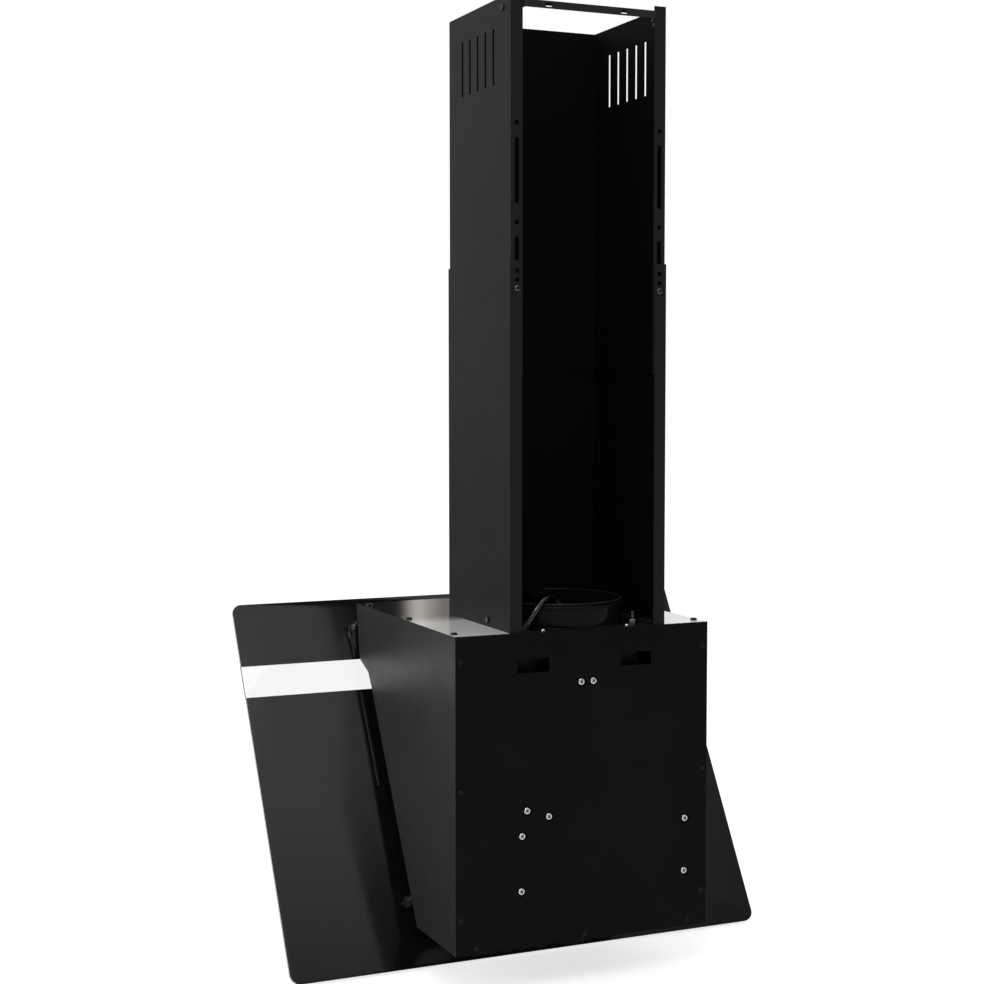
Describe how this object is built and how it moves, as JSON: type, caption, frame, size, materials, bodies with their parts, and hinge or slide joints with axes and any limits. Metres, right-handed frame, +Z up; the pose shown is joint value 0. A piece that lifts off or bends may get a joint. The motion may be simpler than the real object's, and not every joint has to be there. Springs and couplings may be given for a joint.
{
  "type": "wall mount range hood",
  "caption": "Slanted glass-front wall mount range hood, black, with a two-piece box chimney, seen from behind with its outlet collar, dampers and mains lead",
  "frame": {"origin": "on the wall plane, midway between the two hanging holes in the back panel", "axes": "+X to the right seen from the front, +Y towards the wall, +Z up"},
  "size_m": [0.598, 0.3668, 1.0789],
  "materials": {
    "dark_enamel": "semi-gloss black powder coat",
    "side_enamel": "satin black powder coat",
    "top_steel": "bright satin steel",
    "hinge_steel": "satin steel",
    "zinc": "zinc plated",
    "bright_screw": "bright nickel plated",
    "black_screw": "black oxide",
    "galvanised": "galvanised, dull",
    "motor_grey": "satin grey paint",
    "satin_aluminium": "satin anodised",
    "black_glass": "black back-printed, glossy, one clear band",
    "lamp_glass": "frosted",
    "gloss_black": "glossy black",
    "black_plastic": "fine-textured matt black",
    "white_plastic": "matt off-white",
    "rubber_black": "matt black",
    "cord_rubber": "semi-matt black"
  },
  "bodies": {
    "hood_body": {"back_panel": "dark_enamel", "side_panel_right": "side_enamel", "side_panel_left": "side_enamel", "top_panel": "top_steel", "bottom_panel": "dark_enamel", "front_fascia": "dark_enamel", "front_frame": "side_enamel", "hinge_bracket_right": "dark_enamel", "hinge_bracket_left": "dark_enamel", "hinge_pins": "zinc", "catch_housings": "black_plastic", "lamp_right": "hinge_steel", "lamp_left": "hinge_steel", "lamp_lenses": "lamp_glass", "button_bezel": "black_plastic", "switch_box": "black_plastic", "fan_scroll": "galvanised", "fan_motor": "motor_grey", "motor_bracket": "galvanised", "outlet_duct": "black_plastic", "duct_collar": "gloss_black", "flap_axle": "zinc", "capacitor": "white_plastic", "terminal_box": "black_plastic", "cord_gland": "black_plastic", "power_cord": "cord_rubber", "cord_coil": "cord_rubber", "mains_plug": "cord_rubber", "chimney_lower": "side_enamel", "clamp_screws": "black_screw", "foot_screws": "black_screw", "back_screws": "bright_screw", "edge_screws": "black_screw", "top_screws": "black_screw", "earth_stud": "bright_screw", "collar_screws": "zinc"},
    "glass_front": {"front_glass": "black_glass", "glass_hinge_right": "hinge_steel", "glass_hinge_left": "hinge_steel", "glass_strikes": "rubber_black", "glass_strips": "hinge_steel"},
    "upper_chimney": {"chimney_upper": "side_enamel", "chimney_bracket": "side_enamel", "bracket_screws": "black_screw"},
    "filter_panel": {"grease_filter": "satin_aluminium", "filter_mesh": "satin_aluminium"},
    "latch_right": {"filter_latch_right": "black_plastic"},
    "latch_left": {"filter_latch_left": "black_plastic"},
    "damper_right": {"flap_right": "gloss_black"},
    "damper_left": {"flap_left": "gloss_black"},
    "fan_wheel": {"impeller": "black_plastic"},
    "catch_right": {"catch_plunger_right": "zinc"},
    "catch_left": {"catch_plunger_left": "zinc"},
    "push_1": {"button_1": "bright_screw"},
    "push_2": {"button_2": "bright_screw"},
    "push_3": {"button_3": "bright_screw"},
    "push_4": {"button_4": "bright_screw"},
    "push_5": {"button_5": "bright_screw"}
  },
  "joints": [
    {"name": "glass_hinge", "type": "hinge", "parent": "hood_body", "child": "glass_front", "pos_m": [0, -0.3315, 0.004], "axis": [-1, 0, 0], "range_deg": [0, 70]},
    {"name": "chimney_slide", "type": "slide", "parent": "hood_body", "child": "upper_chimney", "axis": [0, 0, 1], "range_m": [-0.052, 0.012]},
    {"name": "filter_tilt", "type": "hinge", "parent": "hood_body", "child": "filter_panel", "pos_m": [0, -0.12174, -0.28171], "axis": [1, 0, 0], "range_deg": [0, 6]},
    {"name": "latch_right_slide", "type": "slide", "parent": "filter_panel", "child": "latch_right", "axis": [0, 0.5113, -0.8594], "range_m": [0, 0.004], "stiffness_N_per_m": 300},
    {"name": "latch_left_slide", "type": "slide", "parent": "filter_panel", "child": "latch_left", "axis": [0, 0.5113, -0.8594], "range_m": [0, 0.004], "stiffness_N_per_m": 300},
    {"name": "damper_right_hinge", "type": "hinge", "parent": "hood_body", "child": "damper_right", "pos_m": [0, -0.077, 0.06], "axis": [-0.342, -0.9397, 0], "range_deg": [0, 45]},
    {"name": "damper_left_hinge", "type": "hinge", "parent": "hood_body", "child": "damper_left", "pos_m": [0, -0.077, 0.06], "axis": [0.342, 0.9397, 0], "range_deg": [0, 75]},
    {"name": "impeller_spin", "type": "hinge", "parent": "hood_body", "child": "fan_wheel", "pos_m": [0, -0.092, -0.144], "axis": [1, 0, 0], "continuous": true},
    {"name": "catch_right_push", "type": "slide", "parent": "hood_body", "child": "catch_right", "axis": [0, 0.8594, 0.5113], "range_m": [0, 0.002], "stiffness_N_per_m": 500},
    {"name": "catch_left_push", "type": "slide", "parent": "hood_body", "child": "catch_left", "axis": [0, 0.8594, 0.5113], "range_m": [0, 0.002], "stiffness_N_per_m": 500},
    {"name": "button_1_push", "type": "slide", "parent": "hood_body", "child": "push_1", "axis": [0, 0, 1], "range_m": [0, 0.0025], "stiffness_N_per_m": 400},
    {"name": "button_2_push", "type": "slide", "parent": "hood_body", "child": "push_2", "axis": [0, 0, 1], "range_m": [0, 0.0025], "stiffness_N_per_m": 400},
    {"name": "button_3_push", "type": "slide", "parent": "hood_body", "child": "push_3", "axis": [0, 0, 1], "range_m": [0, 0.0025], "stiffness_N_per_m": 400},
    {"name": "button_4_push", "type": "slide", "parent": "hood_body", "child": "push_4", "axis": [0, 0, 1], "range_m": [0, 0.0025], "stiffness_N_per_m": 400},
    {"name": "button_5_push", "type": "slide", "parent": "hood_body", "child": "push_5", "axis": [0, 0, 1], "range_m": [0, 0.0025], "stiffness_N_per_m": 400}
  ]
}
